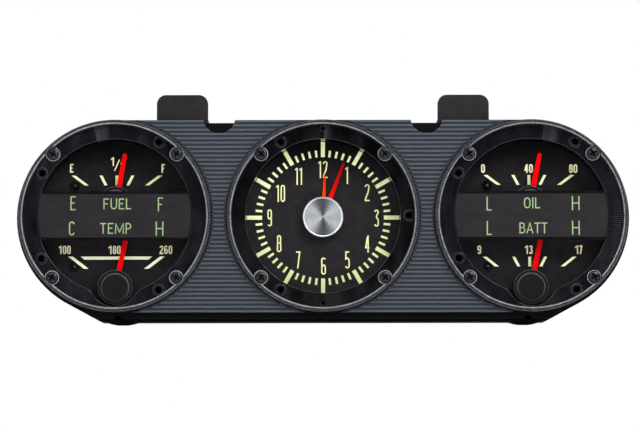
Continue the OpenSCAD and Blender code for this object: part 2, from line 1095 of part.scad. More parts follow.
module batt_hub_cap() {
    color("#1d1c20")
        hub_cap(batt_at);
}

module fuel_shaft() {
    color("silver")
        shaft(fuel_at);
}

module temp_shaft() {
    color("silver")
        shaft(temp_at);
}

module oil_shaft() {
    color("silver")
        shaft(oil_at);
}

module batt_shaft() {
    color("silver")
        shaft(batt_at);
}

module fuel_motor() {
    color("#e8e6e0")
        motor(fuel_at);
}

module temp_motor() {
    color("#e8e6e0")
        motor(temp_at);
}

module oil_motor() {
    color("#e8e6e0")
        motor(oil_at);
}

module batt_motor() {
    color("#e8e6e0")
        motor(batt_at);
}

// Clock

module minute_hand() {
    color("#d80205")
        slab(minute_front, minute_back)
            difference() {
                clockwise(0, 0, minute_rest) {
                    blade_2d(minute_len, minute_w, minute_w * minute_taper);
                    circle(minute_hub_r);
                }
                circle(arbor_r);
            }
}

module minute_arbor() {
    color("#c8a850")
        difference() {
            rod(0, 0, arbor_r, minute_front, arbor_back);
            rod(0, 0, stem_r + run, minute_front - 1, arbor_back + 1);
        }
}

module hour_hand() {
    color("#d80205")
        slab(hour_front, hour_back)
            difference() {
                clockwise(0, 0, hour_rest) {
                    blade_2d(hour_len, hour_w, hour_w * hour_taper);
                    circle(hour_hub_r);
                }
                circle(wheel_r);
            }
}

module hour_wheel() {
    color("#c8a850")
        difference() {
            rod(0, 0, wheel_r, hour_front, wheel_back);
            rod(0, 0, arbor_r + run, hour_front - 1, wheel_back + 1);
        }
}

module set_knob() {
    knob_r = knob_d / 2;
    color("#b4b6b8")
        difference() {
            turned(0, 0)
                polygon([
                    [0, knob_front + knob_dish], [knob_r - knob_rim, knob_front + knob_dish],
                    [knob_r - knob_rim + edge, knob_front], [knob_r - edge, knob_front],
                    [knob_r, knob_front + edge], [knob_r, knob_back], [0, knob_back]
                ]);
            rod(0, 0, stem_r, knob_front + knob_skin, knob_back + 1);
        }
}

module knob_stem() {
    color("silver")
        rod(0, 0, stem_r, knob_front + knob_skin, stem_end);
}

module clock_movement() {
    color("#e8e6e0")
        difference() {
            union() {
                rod(0, 0, movement_r, board_back, movement_back);
                rod(0, 0, movement_nose_r, board_front - movement_nose_h, board_back + eps);
            }
            rod(0, 0, wheel_r + run, board_front - movement_nose_h - 1, wheel_back + slip);
            rod(0, 0, arbor_r + run, board_back, arbor_back + slip);
            rod(0, 0, stem_r + run, board_back, stem_end + slip);
        }
}

// Electronics

module circuit_board(x) {
    slab(board_front, board_back)
        difference() {
            translate([x, 0])
                circle(board_r);
            on_ring([x], screw_ring_r, screw_angles)
                circle(screw_r + snug);
            translate([x, 0])
                children();
        }
}

module pivot_holes() {
    for (z = [pivot_up, -pivot_down])
        translate([0, z])
            circle(shaft_r + shaft_hole_gap);
}

module circuit_board_left() {
    color("#1f5a36")
        circuit_board(pod_x[0])
            pivot_holes();
}

module circuit_board_clock() {
    color("#1f5a36")
        circuit_board(pod_x[1])
            circle(movement_nose_r + snug);
}

module circuit_board_right() {
    color("#1f5a36")
        circuit_board(pod_x[2])
            pivot_holes();
}

module board_screws() {
    color("#8f9296")
        for (x = pod_x)
            for (a = screw_angles)
                translate([x + screw_ring_r * cos(a), 0, axis_z + screw_ring_r * sin(a)])
                    screw_from_back(board_back, board_screw_len, screw_r, board_head_r, board_head_h, a);
}

module backlight_leds() {
    color("#f4f2d8")
        slab(stem_back, board_front) {
            for (x = outer_pod_x)
                for (side = [-1, 1])
                    translate([x + side * stem_x, legend_mid])
                        square([led_w, led_w], center = true);
            on_ring(pod_x, led_ring_r, led_angles)
                square([led_w, led_w], center = true);
        }
}

// Rear sockets

module socket_spots() {
    for (x = pod_x)
        translate([x, 0])
            children();
}

module rear_sockets() {
    floor_at = bulge_back - case_wall - socket_inset;
    color("#19191b") {
        slab(floor_at, total_depth)
            difference() {
                socket_spots()
                    square([socket_w, socket_h], center = true);
                socket_spots()
                    square([socket_w - 2 * socket_wall, socket_h - 2 * socket_wall], center = true);
            }
        slab(floor_at, floor_at + socket_floor)
            difference() {
                socket_spots()
                    square([socket_w, socket_h], center = true);
                pin_spots()
                    circle(socket_pin_r);
            }
        slab(bulge_back, bulge_back + socket_wall)
            difference() {
                socket_spots()
                    square([socket_w + 2 * socket_lip, socket_h + 2 * socket_lip], center = true);
                socket_spots()
                    square([socket_w, socket_h], center = true);
            }
    }
}

module pin_spots() {
    for (x = pod_x)
        for (i = [0 : socket_pins_a_row - 1])
            for (row = [-1, 1])
                translate([
                    x + (i - (socket_pins_a_row - 1) / 2) * socket_pin_pitch,
                    row * socket_pin_pitch / 2
                ])
                    children();
}

module socket_pins() {
    color("#d8b860")
        slab(bulge_back - case_wall - 2 * socket_inset, total_depth - socket_inset)
            pin_spots()
                circle(socket_pin_r);
}

// Mounting tabs

module tab_screw_spots() {
    for (side = [-1, 1])
        for (dx = [-tab_screw_x, tab_screw_x])
            translate([side * tab_x + dx, front_y + plate_back + tab_screw_back, axis_z])
                children();
}

module mounting_tab(x) {
    r = tab_corner_r;
    h = tab_top - case_top;
    difference() {
        union() {
            slab(plate_back, plate_back + tab_thick)
                translate([x - tab_w / 2, case_top]) {
                    square([tab_w, h - r]);
                    translate([r, 0])
                        square([tab_w - 2 * r, h]);
                    for (cx = [r, tab_w - r])
                        translate([cx, h - r])
                            circle(r);
                }
            slab(plate_back, plate_back + tab_foot)
                translate([x - tab_w / 2, case_top])
                    square([tab_w, tab_thick]);
        }
        tab_screw_spots()
            translate([0, 0, case_top - 1])
                cylinder(r = tab_screw_r + snug, h = tab_thick + 2);
    }
}

module mounting_tab_left() {
    color("#343236")
        mounting_tab(-tab_x);
}

module mounting_tab_right() {
    color("#343236")
        mounting_tab(tab_x);
}

module tab_screws() {
    color("#5c5d5f")
        tab_screw_spots()
            translate([0, 0, case_top + tab_thick])
                difference() {
                    union() {
                        pan_head(pan_head_r, pan_head_h);
                        translate([0, 0, -tab_screw_len])
                            cylinder(r = tab_screw_r, h = tab_screw_len);
                    }
                    for (a = [20, 110])
                        rotate(a)
                            translate([-cross_len / 2, -cross_w / 2, pan_head_h - cross_deep])
                                cube([cross_len, cross_w, cross_deep + 1]);
                }
}

rear_housing();
bezel_carrier();
rib_panel_left();
rib_panel_right();
pod_collar_left();
pod_collar_clock();
pod_collar_right();
mask_ring_left();
mask_ring_clock();
mask_ring_right();
mask_screws();
mask_washers();
dial_left();
dial_clock();
dial_right();
marks_left();
marks_clock();
marks_right();
legend_plate_left();
legend_plate_right();
light_guide_left();
light_guide_right();
fuel_pointer();
temp_pointer();
oil_pointer();
batt_pointer();
fuel_hub_cap();
temp_hub_cap();
oil_hub_cap();
batt_hub_cap();
fuel_shaft();
temp_shaft();
oil_shaft();
batt_shaft();
fuel_motor();
temp_motor();
oil_motor();
batt_motor();
minute_hand();
minute_arbor();
hour_hand();
hour_wheel();
set_knob();
knob_stem();
clock_movement();
circuit_board_left();
circuit_board_clock();
circuit_board_right();
board_screws();
backlight_leds();
indicator_lenses_left();
indicator_lenses_right();
rear_sockets();
socket_pins();
housing_screws();
mounting_tab_left();
mounting_tab_right();
tab_screws();
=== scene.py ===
import json
import math

import bmesh
import bpy
from mathutils import Matrix, Vector


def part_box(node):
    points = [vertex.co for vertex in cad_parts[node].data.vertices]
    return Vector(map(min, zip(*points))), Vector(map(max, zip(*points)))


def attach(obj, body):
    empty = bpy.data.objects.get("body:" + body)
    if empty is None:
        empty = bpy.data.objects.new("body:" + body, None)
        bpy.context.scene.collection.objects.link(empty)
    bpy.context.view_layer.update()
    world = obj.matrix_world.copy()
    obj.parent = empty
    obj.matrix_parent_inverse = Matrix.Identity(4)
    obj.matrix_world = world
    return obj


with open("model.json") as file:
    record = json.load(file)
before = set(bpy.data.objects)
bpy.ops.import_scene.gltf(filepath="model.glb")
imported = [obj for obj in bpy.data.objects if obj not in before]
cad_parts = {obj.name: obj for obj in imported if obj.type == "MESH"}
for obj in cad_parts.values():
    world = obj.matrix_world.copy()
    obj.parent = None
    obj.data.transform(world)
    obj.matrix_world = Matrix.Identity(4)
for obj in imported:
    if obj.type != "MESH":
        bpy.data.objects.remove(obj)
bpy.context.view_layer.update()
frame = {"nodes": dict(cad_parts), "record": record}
nodes = frame["nodes"]

# Places taken from the frame, in metres
MM = 0.001


def middle(node):
    low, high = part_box(node)
    return (low + high) / 2


LEFT = middle("pod_collar_left")
CLOCK = middle("pod_collar_clock")
RIGHT = middle("pod_collar_right")
AXIS_Z = CLOCK.z
DIAL_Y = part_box("dial_left")[0].y
LEGEND_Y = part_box("legend_plate_left")[0].y
FRONT_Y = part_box("pod_collar_left")[0].y
PANEL_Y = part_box("rib_panel_left")[0].y
SCREW_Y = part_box("mask_screws")[0].y
KNOB_R = (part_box("set_knob")[1].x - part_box("set_knob")[0].x) / 2
COLLAR_R = (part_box("pod_collar_left")[1].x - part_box("pod_collar_left")[0].x) / 2
# Outer radius of a collar's polished lip, where a highlight is painted, its width and the width of its
# soft edges
LIP_R = COLLAR_R - 1.15 * MM
LIP_WIDTH = 0.6 * MM
LIP_BLEND = 0.15 * MM


# Materials


def lin(red, green, blue):
    """An sRGB colour, 0 to 255, as linear RGBA."""
    out = []
    for c in (red, green, blue):
        c /= 255.0
        out.append(c / 12.92 if c <= 0.04045 else ((c + 0.055) / 1.055) ** 2.4)
    return (*out, 1.0)


EDGE_SAMPLES = 8


def feed(tree, socket, value):
    """Link another node's output to a socket, or set the socket's own value."""
    if isinstance(value, bpy.types.NodeSocket):
        tree.links.new(value, socket)
    else:
        socket.default_value = value


def add_node(tree, kind, operation=None, **inputs):
    """A new node. An input goes by its name, with _ for a space, or by n and its number."""
    made = tree.nodes.new(kind)
    if operation:
        made.operation = operation
    for key, value in inputs.items():
        place = int(key[1:]) if key[1:].isdigit() else key.replace("_", " ")
        feed(tree, made.inputs[place], value)
    return made


class Shade:
    """A procedural material built round one Principled shader, in object space."""

    def __init__(self, name, **sockets):
        self.mat = bpy.data.materials.new(name)
        self.mat.use_nodes = True
        tree = self.mat.node_tree
        tree.nodes.clear()
        self.tree = tree
        out = tree.nodes.new("ShaderNodeOutputMaterial")
        self.shader = tree.nodes.new("ShaderNodeBsdfPrincipled")
        tree.links.new(self.shader.outputs[0], out.inputs["Surface"])
        self.coord = tree.nodes.new("ShaderNodeTexCoord").outputs["Object"]
        for key, value in sockets.items():
            self.shader.inputs[key.replace("_", " ")].default_value = value

    def node(self, kind, operation=None, **inputs):
        return add_node(self.tree, kind, operation, **inputs)

    def feed(self, name, value):
        """Set or link an input of the shader."""
        feed(self.tree, self.shader.inputs[name], value)

    def noise(self, size_mm, detail=3.0, rough=0.55, stretch=(1, 1, 1)):
        """Noise whose patches are about size_mm across."""
        place = self.node("ShaderNodeMapping", Vector=self.coord, Scale=stretch)
        made = self.node(
            "ShaderNodeTexNoise",
            Vector=place.outputs[0],
            Scale=1.0 / (size_mm * MM),
            Detail=detail,
            Roughness=rough,
        )
        return made.outputs["Fac"]

    def math(self, operation, a, b=0.0, c=0.0):
        return self.node("ShaderNodeMath", operation, n0=a, n1=b, n2=c).outputs[0]

    def times(self, a, b):
        return self.math("MULTIPLY", a, b)

    def plus(self, a, b):
        return self.math("ADD", a, b)

    def minus(self, a, b):
        return self.math("SUBTRACT", a, b)

    def wave(self, value, pitch_mm):
        """A sine along a length in metres."""
        return self.math("SINE", self.times(value, 2 * math.pi / (pitch_mm * MM)))

    def grade(self, noise, to_low=0.0, to_high=1.0):
        """The middle part of a noise, spread over a range."""
        return self.span(noise, 0.3, 0.7, to_low, to_high)

    def line_noise(self, value, detail, scale=1.0):
        """Noise along one value."""
        made = self.node("ShaderNodeTexNoise", Scale=scale, Detail=detail, Roughness=0.6)
        made.noise_dimensions = "1D"
        feed(self.tree, made.inputs["W"], value)
        return made.outputs["Fac"]

    def span(self, value, low, high, to_low=0.0, to_high=1.0):
        """The value's way from low to high, clamped, as to_low to to_high."""
        made = self.node("ShaderNodeMapRange", Value=value, From_Min=low, From_Max=high)
        made.inputs["To Min"].default_value = to_low
        made.inputs["To Max"].default_value = to_high
        return made.outputs[0]

    def mix(self, fac, a, b):
        """Colour a where fac is 0 and colour b where it is 1."""
        made = self.tree.nodes.new("ShaderNodeMix")
        made.data_type = "RGBA"
        for socket, value in (("Factor", fac), (6, a), (7, b)):
            feed(self.tree, made.inputs[socket], value)
        return made.outputs[2]

    def axis(self, name):
        return self.node("ShaderNodeSeparateXYZ", Vector=self.coord).outputs[name]

    def radius(self, x, z):
        dx = self.minus(self.axis("X"), x)
        dz = self.minus(self.axis("Z"), z)
        return self.math("SQRT", self.plus(self.times(dx, dx), self.times(dz, dz)))

    def turn(self, x, z):
        """Angle in degrees round (x, z), clockwise from upright."""
        across = self.minus(self.axis("X"), x)
        up = self.minus(self.axis("Z"), z)
        return self.math("DEGREES", self.math("ARCTAN2", across, up))

    def base(self, value):
        self.feed("Base Color", value)

    def rough(self, value):
        self.feed("Roughness", value)

    def rounded(self, radius_mm):
        """The normal as if edges were rounded."""
        made = self.node("ShaderNodeBevel", Radius=radius_mm * MM)
        made.samples = EDGE_SAMPLES
        return made.outputs[0]

    def soften(self, radius_mm):
        """Rounded edges in the shading, so they catch the light as moulded ones do."""
        self.feed("Normal", self.rounded(radius_mm))

    def hollow(self, reach_mm):
        """Near 0 in a narrow recess and 1 on an open face."""
        made = self.node("ShaderNodeAmbientOcclusion", Distance=reach_mm * MM)
        made.samples = EDGE_SAMPLES
        made.only_local = True
        return made.outputs["AO"]

    def edges(self, radius_mm):
        """0 on open faces, rising to 1 along edges."""
        flat = self.node("ShaderNodeNewGeometry").outputs["Normal"]
        turned = self.node("ShaderNodeVectorMath", "DOT_PRODUCT", n0=self.rounded(radius_mm), n1=flat)
        return self.span(turned.outputs["Value"], 0.98, 0.78)

    def bump(self, height, depth_mm, strength=1.0):
        """Relief of depth_mm over the normal that the shader has so far."""
        made = self.node("ShaderNodeBump", Height=height, Distance=depth_mm * MM, Strength=strength)
        previous = self.shader.inputs["Normal"].links
        if previous:
            feed(self.tree, made.inputs["Normal"], previous[0].from_socket)
        self.feed("Normal", made.outputs[0])


def mottled(name, dark, light, rough, size_mm, bump_mm, stretch=(1, 1, 1), gloss=0.12, **sockets):
    """A moulded or painted finish: two near tones, uneven gloss and a fine grain."""
    s = Shade(name, Specular_IOR_Level=gloss, **sockets)
    broad = s.noise(size_mm * 14, 2.0, 0.5, stretch)
    fine = s.noise(size_mm, 4.0, 0.65, stretch)
    blend = s.plus(s.times(broad, 0.6), s.times(fine, 0.4))
    s.base(s.mix(s.span(blend, 0.35, 0.65), lin(*dark), lin(*light)))
    s.rough(s.grade(fine, rough[0], rough[1]))
    s.bump(fine, bump_mm, 0.6)
    return s


def collar_shade(name, x):
    """Dark turned metal with a polished inner lip, painted bright there as a highlight."""
    s = Shade(name, Metallic=0.9)
    r = s.radius(x, AXIS_Z)
    turned = s.noise(0.25, 2.0, 0.6)
    rings = s.wave(r, 0.22)
    inner = s.span(r, LIP_R - LIP_WIDTH - LIP_BLEND, LIP_R - LIP_WIDTH)
    outer = s.span(r, LIP_R - 2 * LIP_BLEND, LIP_R - LIP_BLEND, 1.0, 0.0)
    lip = s.times(inner, outer)
    wear = s.span(s.noise(1.6, 4.0, 0.7), 0.35, 0.7)
    band = s.mix(wear, lin(50, 52, 56), lin(80, 82, 87))
    # The polished lip's bright tones are a painted highlight.
    lip_highlight = s.mix(wear, lin(150, 153, 158), lin(205, 207, 210))
    s.base(s.mix(lip, band, lip_highlight))
    s.rough(s.plus(s.span(lip, 0.0, 1.0, 0.36, 0.22), s.times(turned, 0.1)))
    s.bump(rings, 0.004, 0.35)
    return s.mat


# Distance right of the axis over which the right mask's fine lines come in
LINES_FROM = 30 * MM
LINES_FULL = 37 * MM


def painted_reflection(s, x, start, end):
    """A painted reflection: a paler sector at the top of a mask, between two angles from upright."""
    angle = s.turn(x, AXIS_Z)
    streaks = s.line_noise(angle, 2.0, 0.3)
    sector = s.times(s.span(angle, start, start + 0.6), s.span(angle, end - 4.0, end, 1.0, 0.0))
    return s.times(sector, s.span(streaks, 0.3, 0.65, 0.25, 1.0))


def mask_shade(name, x, painted_sheen, reflection_turn, lined=False):
    """Gloss black moulding with faint handling marks, painted highlights along its edges, painted sheen
    and a painted reflection at the top.
    """
    s = Shade(name, Specular_IOR_Level=0.4)
    s.soften(0.18)
    smear = s.noise(7.0, 5.0, 0.6, (1, 1, 0.35))
    fine = s.noise(0.5, 3.0, 0.6)
    # The tones rise with each pod's painted sheen of the lights on one black moulding.
    blue = painted_sheen / 2 + 1
    dark, light = lin(painted_sheen, painted_sheen, painted_sheen + blue), lin(painted_sheen + 5, painted_sheen + 4, painted_sheen + 6 + blue)
    open_face = s.mix(s.grade(smear), dark, light)
    # A painted reflection of the lights pales a sector at the top.
    open_face = s.mix(s.times(painted_reflection(s, x, *reflection_turn), 0.9), open_face, lin(48, 49, 54))
    # Painted highlights along the edges of bores and holes.
    s.base(s.mix(s.times(s.edges(0.4), 0.6), open_face, lin(82, 83, 88)))
    s.rough(s.grade(smear, 0.1, 0.24))
    s.bump(fine, 0.004, 0.3)
    if lined:
        lines = s.wave(s.axis("Z"), 0.9)
        side = s.span(s.axis("X"), x + LINES_FROM, x + LINES_FULL)
        s.bump(s.times(lines, side), 0.02, 0.5)
    return s.mat


# Direction of the knob's paler sectors, a painted highlight of its spun face, in degrees clockwise from
# upright
SECTOR_TURN = 88.0
# Distance in from the knob's edge over which its pale rim, a painted highlight, ends
RIM_FULL = 0.6 * MM
RIM_END = 0.85 * MM


def knob_shade():
    """Spun aluminium: fine circles round the middle, paler sectors painted as its highlight, and a rim
    painted pale as a highlight.
    """
    s = Shade("spun_aluminium", Metallic=1.0, Anisotropic=0.8)
    r = s.radius(CLOCK.x, AXIS_Z)
    ring = s.line_noise(s.times(r, 1 / (0.25 * MM)), 3.0)
    turned = s.turn(CLOCK.x, AXIS_Z)
    rim_highlight = s.span(r, KNOB_R - RIM_END, KNOB_R - RIM_FULL)
    # Paler sectors in two opposite directions are a painted highlight.
    from_sectors = s.minus(turned, SECTOR_TURN)
    painted_sectors = s.math("COSINE", s.math("RADIANS", s.times(from_sectors, 2)))
    tone = s.plus(s.span(painted_sectors, -1.0, 1.0, 0.1, 0.9), s.grade(ring, -0.06, 0.06))
    face = s.mix(tone, lin(146, 152, 159), lin(208, 211, 215))
    # The pale rim is a painted highlight.
    s.base(s.mix(rim_highlight, face, lin(250, 250, 251)))
    s.rough(s.span(rim_highlight, 0.0, 1.0, 0.27, 0.5))
    s.bump(ring, 0.0003, 0.1)
    tangent = s.tree.nodes.new("ShaderNodeTangent")
    tangent.direction_type = "RADIAL"
    tangent.axis = "Y"
    s.feed("Tangent", tangent.outputs[0])
    return s.mat


# Depths in a screw's cross between which it is painted black as shade
CROSS_EDGE = 0.3 * MM
CROSS_FLOOR = 0.5 * MM


def screw_shade():
    """Darkened zinc screws with recesses painted black as shade."""
    s = Shade("screw_zinc", Specular_IOR_Level=0.05)
    s.soften(0.15)
    grain = s.noise(0.3, 3.0, 0.6)
    face = s.mix(s.grade(grain), lin(26, 26, 28), lin(66, 66, 69))
    # Deep parts of the cross and narrow hollows are painted black as shade.
    clear_of_painted_shade = s.span(s.axis("Y"), SCREW_Y + CROSS_EDGE, SCREW_Y + CROSS_FLOOR, 1.0, 0.0)
    shown = s.times(clear_of_painted_shade, s.span(s.hollow(1.4), 0.6, 0.95))
    s.base(s.mix(shown, lin(0, 0, 1), face))
    s.feed("Metallic", s.times(shown, 0.9))
    s.rough(s.grade(grain, 0.3, 0.46))
    s.bump(grain, 0.008, 0.6)
    return s.mat


def hand_shade(name, near, far, reach_mm):
    """Red lacquer whose tone shifts along a clock hand; the minute hand's darker tip is painted shade."""
    s = Shade(name, Specular_IOR_Level=0.03)
    r = s.span(s.radius(CLOCK.x, AXIS_Z), 9 * MM, reach_mm * MM)
    speck = s.noise(0.7, 3.0, 0.6)
    tone = s.plus(r, s.times(s.minus(speck, 0.5), 0.25))
    s.base(s.mix(tone, lin(*near), lin(*far)))
    s.rough(s.grade(speck, 0.38, 0.52))
    s.bump(speck, 0.01, 0.4)
    return s.mat


def tab_shade():
    """Moulded tab with fine level drag lines."""
    s = mottled("tab_moulding", (20, 18, 21), (30, 28, 31), (0.5, 0.68), 0.5, 0.012)
    lines = s.wave(s.axis("Z"), 0.75)
    s.bump(lines, 0.035, 0.8)
    return s.mat


def smoked_shade():
    """Smoked acrylic, almost black where it lies in front of the dark dial."""
    s = Shade("smoked_acrylic", IOR=1.49, Coat_Weight=0.3, Coat_Roughness=0.05)
    s.shader.inputs["Transmission Weight"].default_value = 0.2
    tint = s.noise(9.0, 2.0)
    s.base(s.mix(s.grade(tint), lin(12, 12, 14), lin(20, 19, 22)))
    s.rough(s.grade(tint, 0.06, 0.12))
    return s.mat


def edged_shade(name, dark, light, edge, gloss, radius_mm, rear=None):
    """Black moulding with a painted highlight along each edge, and a rear painted paler as light where one
    is given.
    """
    s = Shade(name, Specular_IOR_Level=gloss)
    s.soften(0.3)
    grain = s.noise(0.45, 4.0, 0.65)
    body = s.mix(s.span(grain, 0.35, 0.65), lin(*dark), lin(*light))
    if rear:
        # The rear is painted paler, as light on the back.
        painted_rear_light = s.span(s.plus(s.axis("Y"), s.times(grain, 4 * MM)), 0, 16 * MM)
        body = s.mix(painted_rear_light, body, lin(*rear))
    # Painted highlights along the edges.
    s.base(s.mix(s.times(s.edges(radius_mm), 0.9), body, lin(*edge)))
    s.rough(s.grade(grain, 0.36, 0.5))
    s.bump(grain, 0.01, 0.6)
    return s.mat


# Dark dots of painted shadow between the rib ends round a collar
SHADOW_DOTS = 216


def shadow_dotted(s, ribs, crest, x):
    """The ribs' colour with a ring round one collar of painted shadow dots between dots of the crests'
    colour.
    """
    r = s.radius(x, AXIS_Z)
    start, end = COLLAR_R + 0.1 * MM, COLLAR_R + 1.3 * MM
    band = s.times(s.span(r, start, start + 0.2 * MM), s.span(r, end - 0.3 * MM, end, 1.0, 0.0))
    wave = s.math("SINE", s.times(s.turn(x, AXIS_Z), math.radians(SHADOW_DOTS)))
    return s.mix(band, ribs, s.mix(s.span(wave, -0.3, 0.3), lin(2, 2, 3), crest))


# Depths at which a rib's colour is that of the groove, painted shade, and of the crest, painted light
RIB_GROOVE = 0.32 * MM
RIB_CREST = 0.05 * MM


def panel_shade():
    """Slate-blue moulding, with painted light on the crests of the ribs and painted shade between them."""
    s = Shade("panel_moulding", Specular_IOR_Level=0.3)
    drag = s.noise(0.4, 4.0, 0.65, (0.2, 1, 1))
    low = s.mix(drag, lin(24, 28, 33), lin(36, 41, 48))
    high = s.mix(drag, lin(50, 57, 66), lin(70, 78, 88))
    # Grooves painted darker as shade and crests paler as light.
    ribs = s.mix(s.span(s.axis("Y"), PANEL_Y + RIB_GROOVE, PANEL_Y + RIB_CREST), low, high)
    for place in (LEFT, CLOCK, RIGHT):
        ribs = shadow_dotted(s, ribs, high, place.x)
    s.base(ribs)
    s.rough(s.grade(drag, 0.34, 0.48))
    s.bump(drag, 0.01, 0.6)
    return s.mat


# Reach over and under the axis of the marks' change of tone, which is painted light and shade
MARKS_REACH = 27 * MM


def marks_shade(name, low, high):
    """Luminous paint, painted a little paler at one end of the dial as light and shade."""
    s = Shade(name, Specular_IOR_Level=0.1)
    grain = s.noise(0.35, 4.0, 0.65)
    up = s.span(s.axis("Z"), AXIS_Z - MARKS_REACH, AXIS_Z + MARKS_REACH)
    tone = s.plus(up, s.times(s.minus(grain, 0.5), 0.3))
    s.base(s.mix(tone, lin(*low), lin(*high)))
    s.rough(s.grade(grain, 0.6, 0.75))
    s.bump(grain, 0.01, 0.6)
    return s.mat


# Heights over the axis between which the mask's painted shadow deepens the dial paint
SHADOW_FROM = 14 * MM
SHADOW_FULL = 33 * MM


def dial_shade():
    """Matt dark paint, darker toward the top of the dial with the mask's shadow painted in."""
    s = Shade("dial_paint", Specular_IOR_Level=0.05)
    grain = s.noise(0.3, 4.0, 0.65)
    broad = s.noise(4.0, 2.0, 0.5)
    mixed = s.plus(s.times(broad, 0.6), s.times(grain, 0.4))
    tone = s.span(mixed, 0.35, 0.65)
    plain = s.mix(tone, lin(28, 26, 28), lin(36, 34, 36))
    # Painted shadow of the mask over the top of the dial.
    deep = s.mix(tone, lin(6, 6, 8), lin(12, 11, 13))
    s.base(s.mix(s.span(s.axis("Z"), AXIS_Z + SHADOW_FROM, AXIS_Z + SHADOW_FULL), plain, deep))
    s.rough(s.grade(grain, 0.72, 0.9))
    s.bump(grain, 0.01, 0.6)
    return s.mat


def board_shade():
    """Green board with faint copper runs under the mask."""
    s = Shade("board_mask", Coat_Weight=0.3, Coat_Roughness=0.2)
    runs = s.wave(s.axis("Z"), 1.4)
    wander = s.noise(6.0, 2.0)
    s.base(s.mix(s.span(s.plus(runs, wander), 0.9, 1.1), lin(20, 74, 42), lin(36, 104, 62)))
    s.rough(s.grade(wander, 0.35, 0.5))
    s.bump(runs, 0.02, 0.4)
    return s.mat


# Material of each slot of the record
SLOTS = {
    # The case's edge tone is a painted highlight, and its rear tone painted light.
    "case_black": edged_shade(
        "case_moulding", (2, 2, 2), (5, 5, 6), (40, 40, 42), 0.07, 0.45, (27, 27, 29)
    ),
    "panel_blue_grey": panel_shade(),
    "screw_steel": screw_shade(),
    "dial_charcoal": dial_shade(),
    "mark_cream": mottled("mark_paint", (222, 236, 172), (234, 244, 188), (0.6, 0.75), 0.35, 0.01).mat,
    "legend_charcoal": mottled(
        "legend_film", (26, 24, 27), (34, 32, 35), (0.6, 0.75), 0.35, 0.008, (0.5, 1, 1), gloss=0.08
    ).mat,
    "guide_clear": smoked_shade(),
    "pointer_red": mottled(
        "pointer_lacquer", (188, 0, 1), (208, 1, 2), (0.4, 0.55), 0.6, 0.01, gloss=0.03
    ).mat,
    # The hub's edge tone is a painted highlight, as rings round its cap.
    "hub_black": edged_shade("hub_moulding", (6, 6, 8), (13, 13, 16), (124, 124, 130), 0.12, 0.7),
    "shaft_steel": mottled(
        "shaft_ground", (140, 140, 143), (170, 170, 172), (0.25, 0.4), 0.3, 0.005, Metallic=1.0
    ).mat,
    "motor_white": mottled("motor_moulding", (206, 204, 196), (222, 220, 212), (0.45, 0.6), 0.6, 0.01).mat,
    "knob_silver": knob_shade(),
    "arbor_brass": mottled(
        "brass_turned", (170, 130, 62), (205, 165, 92), (0.25, 0.4), 0.4, 0.006, Metallic=1.0
    ).mat,
    "board_green": board_shade(),
    "led_pale": mottled("led_resin", (228, 224, 196), (244, 240, 214), (0.2, 0.35), 0.5, 0.005).mat,
    "lamp_dark": mottled("lamp_lens", (5, 5, 6), (11, 11, 12), (0.1, 0.2), 0.6, 0.004, gloss=0.5).mat,
    "socket_black": mottled("socket_moulding", (18, 18, 20), (27, 27, 29), (0.5, 0.66), 0.5, 0.01).mat,
    "tab_grey": tab_shade(),
}
# Nodes that look different from the rest of their slot
SPECIAL = {
    "pod_collar_left": collar_shade("collar_left_metal", LEFT.x),
    "pod_collar_clock": collar_shade("collar_clock_metal", CLOCK.x),
    "pod_collar_right": collar_shade("collar_right_metal", RIGHT.x),
    # Each mask's number is its painted sheen, and its two angles bound its painted reflection.
    "mask_ring_left": mask_shade("mask_gloss_left", LEFT.x, 7, (-14.0, -3.0)),
    "mask_ring_clock": mask_shade("mask_gloss_clock", CLOCK.x, 1, (0.5, 6.0)),
    "mask_ring_right": mask_shade("mask_gloss_right", RIGHT.x, 8, (8.0, 21.0), True),
    "mask_washers": mottled(
        "washer_zinc", (124, 124, 127), (172, 172, 176), (0.34, 0.46), 0.3, 0.006, Metallic=0.9
    ).mat,
    # Each pair runs from low to high on the dial as painted light and shade: the clock's marks paler at
    # the top, the side pods' paler at the bottom.
    "marks_left": marks_shade("marks_left_paint", (252, 255, 224), (226, 240, 180)),
    "marks_clock": marks_shade("marks_clock_paint", (194, 206, 146), (240, 250, 194)),
    "marks_right": marks_shade("marks_right_paint", (246, 252, 206), (226, 240, 180)),
    # The minute hand darkens toward its tip as painted shade.
    "minute_hand": hand_shade("minute_lacquer", (206, 2, 4), (130, 3, 6), 26),
    "hour_hand": hand_shade("hour_lacquer", (224, 62, 0), (208, 8, 3), 19),
}
slot_of = {p["node"]: p["material_slot"] for p in frame["record"]["subparts"]}
for name, obj in nodes.items():
    obj.data.materials.clear()
    obj.data.materials.append(SPECIAL.get(name) or SLOTS[slot_of[name]])


# Edges sharper than this stay crisp
CREASE = math.radians(30)


def smooth_curves(obj):
    """Round walls shade as round ones, with crisp edges."""
    for face in obj.data.polygons:
        face.use_smooth = True
    split = obj.modifiers.new("crisp_edges", "EDGE_SPLIT")
    split.split_angle = CREASE


for obj in nodes.values():
    smooth_curves(obj)


# Lettering in plain strokes


def arc(cx, cy, rx, ry, start, end, steps=9):
    """Points along an arc, with its angles in degrees."""
    return [
        (
            cx + rx * math.cos(math.radians(start + (end - start) * i / steps)),
            cy + ry * math.sin(math.radians(start + (end - start) * i / steps)),
        )
        for i in range(steps + 1)
    ]


